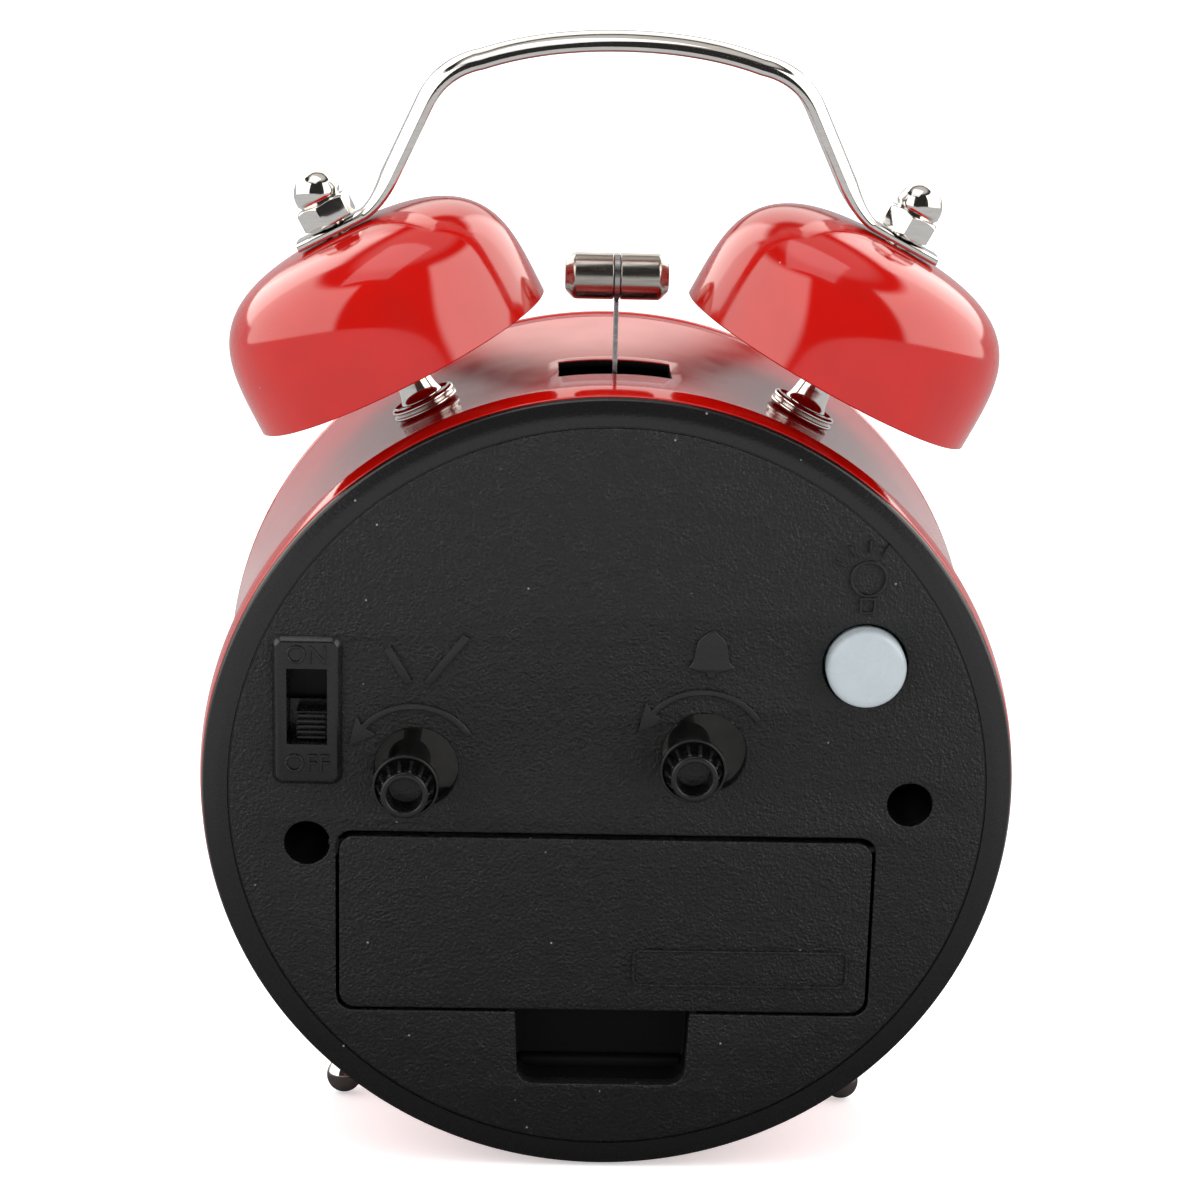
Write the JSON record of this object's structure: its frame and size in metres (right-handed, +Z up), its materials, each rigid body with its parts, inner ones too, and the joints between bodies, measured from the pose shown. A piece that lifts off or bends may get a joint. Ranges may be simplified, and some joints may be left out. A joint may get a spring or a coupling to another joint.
{
  "type": "twin-bell alarm clock",
  "caption": "Round desk alarm clock with a pair of domed bells, a hammer between them, a carrying handle, splayed ball feet, back-mounted setting knobs and a battery door.",
  "frame": {"origin": "on the floor, at the middle of the bounding box footprint", "axes": "+Z up, -Y the way the dial faces, +Y the way the back cover faces, +X to the right as seen from the front; the case leans back about its X axis"},
  "size_m": [0.0924, 0.0644, 0.1273],
  "materials": {
    "red_paint": "deep red gloss enamel",
    "black_plastic": "fine grained black moulding",
    "nickel": "bright nickel plate",
    "steel": "plain steel",
    "brass": "turned brass",
    "white_plastic": "white moulding",
    "grey_plastic": "grey moulding",
    "dial_paper": "printed dial, satin",
    "black_lacquer": "satin black lacquer",
    "red_lacquer": "satin red lacquer",
    "clear_lens": "clear polished sheet",
    "board_green": "solder-masked board",
    "copper": "enamelled copper winding",
    "cell_wrap": "printed film sleeve"
  },
  "bodies": {
    "clock": {"case_shell": "red_paint", "front_bezel": "red_paint", "lens": "clear_lens", "dial": "dial_paper", "dial_ring": "black_plastic", "inner_frame": "black_plastic", "movement_plate": "grey_plastic", "movement_shell": "grey_plastic", "stepper_stator": "steel", "stepper_coil": "copper", "back_cover": "black_plastic", "battery_cell": "cell_wrap", "positive_contact": "nickel", "negative_contact": "nickel", "cover_screw_left": "steel", "cover_screw_right": "steel", "alarm_switch_body": "steel", "light_switch": "black_plastic", "circuit_board": "board_green", "alarm_motor": "steel", "hammer_pivot": "steel", "hammer_bracket": "steel", "bell_left": "red_paint", "bell_right": "red_paint", "bell_post_left": "nickel", "bell_post_right": "nickel", "post_collar_left": "nickel", "post_collar_right": "nickel", "post_nut_left": "steel", "post_nut_right": "steel", "cap_nut_left": "nickel", "cap_nut_right": "nickel", "handle": "nickel", "foot_left": "nickel", "foot_right": "nickel", "foot_nut_left": "steel", "foot_nut_right": "steel"},
    "time_setting": {"time_set_knob": "black_plastic", "time_set_gear": "white_plastic"},
    "idler": {"setting_idler": "white_plastic"},
    "minutes": {"minute_wheel": "white_plastic", "minute_hand": "black_lacquer"},
    "motion": {"motion_wheel": "white_plastic"},
    "hours": {"hour_wheel": "white_plastic", "hour_hand": "black_lacquer"},
    "alarm_setting": {"alarm_set_knob": "black_plastic", "alarm_set_gear": "white_plastic"},
    "alarm_indicator": {"alarm_wheel": "white_plastic", "alarm_hand": "red_lacquer"},
    "seconds": {"second_wheel": "white_plastic", "second_hand": "red_lacquer"},
    "hammer": {"hammer_arm": "steel", "hammer_head": "nickel"},
    "striker_motor": {"motor_cam": "brass"},
    "alarm_switch": {"alarm_slider": "black_plastic"},
    "light": {"light_button": "white_plastic"},
    "door": {"battery_door": "black_plastic"}
  },
  "joints": [
    {"name": "time_set_turn", "type": "hinge", "parent": "clock", "child": "time_setting", "pos_m": [0.022, 0.02285, 0.04642], "axis": [0, 0.986, -0.167], "continuous": true},
    {"name": "idler_turn", "type": "hinge", "parent": "clock", "child": "idler", "pos_m": [0.0125, 0.02266, 0.04533], "axis": [0, 0.986, -0.167], "continuous": true},
    {"name": "minute_turn", "type": "hinge", "parent": "clock", "child": "minutes", "pos_m": [0, 0.02242, 0.0439], "axis": [0, 0.986, -0.167], "continuous": true},
    {"name": "motion_turn", "type": "hinge", "parent": "clock", "child": "motion", "pos_m": [0, 0.02082, 0.03444], "axis": [0, 0.986, -0.167], "continuous": true},
    {"name": "hour_turn", "type": "hinge", "parent": "clock", "child": "hours", "pos_m": [0, 0.02242, 0.0439], "axis": [0, 0.986, -0.167], "continuous": true},
    {"name": "alarm_set_turn", "type": "hinge", "parent": "clock", "child": "alarm_setting", "pos_m": [-0.009, 0.02324, 0.04874], "axis": [0, 0.986, -0.167], "continuous": true},
    {"name": "alarm_hand_turn", "type": "hinge", "parent": "clock", "child": "alarm_indicator", "pos_m": [0, 0.02242, 0.0439], "axis": [0, 0.986, -0.167], "continuous": true},
    {"name": "second_turn", "type": "hinge", "parent": "clock", "child": "seconds", "pos_m": [0, 0.02242, 0.0439], "axis": [0, 0.986, -0.167], "continuous": true},
    {"name": "hammer_swing", "type": "hinge", "parent": "clock", "child": "hammer", "pos_m": [0, 0.01157, 0.07566], "axis": [0, 0.986, -0.167], "range_deg": [-4.5, 4.5], "stiffness_Nm_per_rad": 0.02},
    {"name": "motor_turn", "type": "hinge", "parent": "clock", "child": "striker_motor", "pos_m": [0, 0.00713, 0.06739], "axis": [0, 0.986, -0.167], "continuous": true},
    {"name": "alarm_switch_slide", "type": "slide", "parent": "clock", "child": "alarm_switch", "axis": [0, 0.167, 0.986], "range_m": [0, 0.0052]},
    {"name": "light_push", "type": "slide", "parent": "clock", "child": "light", "axis": [0, -0.986, 0.167], "range_m": [0, 0.001], "stiffness_N_per_m": 1000},
    {"name": "door_open", "type": "hinge", "parent": "clock", "child": "door", "pos_m": [0, 0.02045, 0.03825], "axis": [1, 0, 0], "range_deg": [0, 90]}
  ],
  "couplings": [
    {"joint": "idler_turn", "follows": "time_set_turn", "ratio": -1.1111},
    {"joint": "minute_turn", "follows": "time_set_turn", "ratio": 0.625},
    {"joint": "motion_turn", "follows": "time_set_turn", "ratio": -0.20833},
    {"joint": "hour_turn", "follows": "time_set_turn", "ratio": 0.052083},
    {"joint": "alarm_hand_turn", "follows": "alarm_set_turn", "ratio": -0.5}
  ]
}
